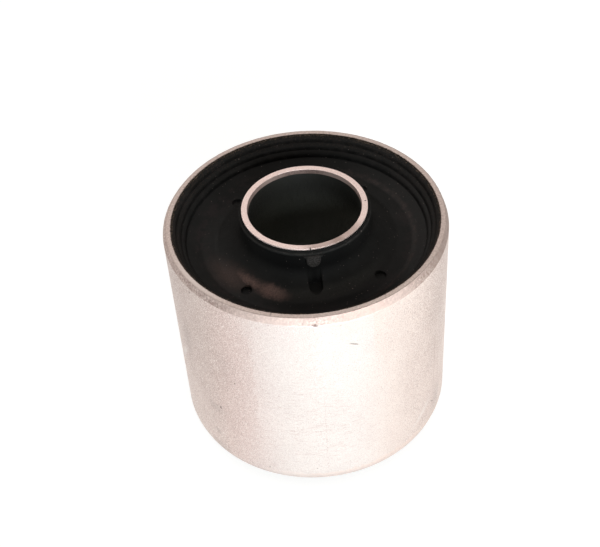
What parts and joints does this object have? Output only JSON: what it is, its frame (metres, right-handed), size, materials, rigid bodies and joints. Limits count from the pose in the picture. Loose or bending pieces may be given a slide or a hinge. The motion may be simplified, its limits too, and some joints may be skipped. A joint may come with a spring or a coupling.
{
  "type": "control arm bushing",
  "caption": "Bonded rubber bush for a suspension arm: pressed outer steel sleeve, dished black rubber, proud inner steel sleeve for the pivot.",
  "frame": {"origin": "centre of the bush on its axis, halfway between the two ends", "axes": "+Z along the bush's axis towards the end with the gate tab and pin holes; -Y is the front, where the gate tab sits"},
  "size_m": [0.066, 0.066, 0.0624],
  "materials": {
    "outer_steel": "fine matte blasted steel with a faint warm tint, small scratches and specks",
    "rubber": "matte moulded rubber with a soft sheen and light dust",
    "inner_steel": "turned bare end face, dark coated bore"
  },
  "bodies": {
    "root": {"outer_sleeve": "outer_steel", "rubber_body": "rubber", "inner_sleeve": "inner_steel"}
  },
  "joints": []
}
